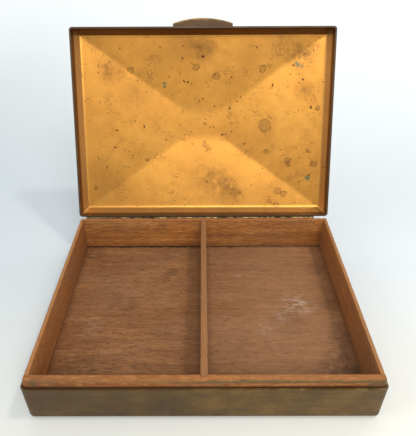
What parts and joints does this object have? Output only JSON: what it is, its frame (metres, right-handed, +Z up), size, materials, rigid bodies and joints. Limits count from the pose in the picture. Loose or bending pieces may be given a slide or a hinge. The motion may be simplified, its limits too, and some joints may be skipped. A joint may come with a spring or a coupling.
{
  "type": "desk box",
  "caption": "Low rectangular bronze desk box lined with thin wooden boards, split by a divider, with a shallow hipped lid on a piano hinge and a crescent thumb lift.",
  "frame": {"origin": "middle of the pan's flat underside", "axes": "+X to the right of someone facing the box, +Y towards the hinge at the back, +Z up"},
  "size_m": [0.165, 0.1736, 0.1433],
  "materials": {
    "patinated_bronze": "dull brown-olive patina",
    "lid_bronze": "satin gold-brown inside with tarnish spots, brown patina outside",
    "hinge_brass": "aged, rubbed bright on the knuckles",
    "cedar_floor": "dry, open grain, lightly scuffed",
    "cedar_wall": "dry, open grain",
    "cedar_divider": "dry, top edge worn pale"
  },
  "bodies": {
    "box": {"bronze_pan": "patinated_bronze", "liner_floor_board": "cedar_floor", "liner_front_board": "cedar_wall", "liner_back_board": "cedar_wall", "liner_left_board": "cedar_wall", "liner_right_board": "cedar_wall", "divider_board": "cedar_divider", "hinge_leaf_base": "hinge_brass", "hinge_pin": "hinge_brass"},
    "lid": {"lid_shell": "lid_bronze", "thumb_lift": "patinated_bronze", "hinge_leaf_lid": "hinge_brass"}
  },
  "joints": [
    {"name": "lid_hinge", "type": "hinge", "parent": "box", "child": "lid", "pos_m": [-0.0024, 0.0619, 0.02435], "axis": [1, 0, 0], "range_deg": [0, 111.5]}
  ]
}
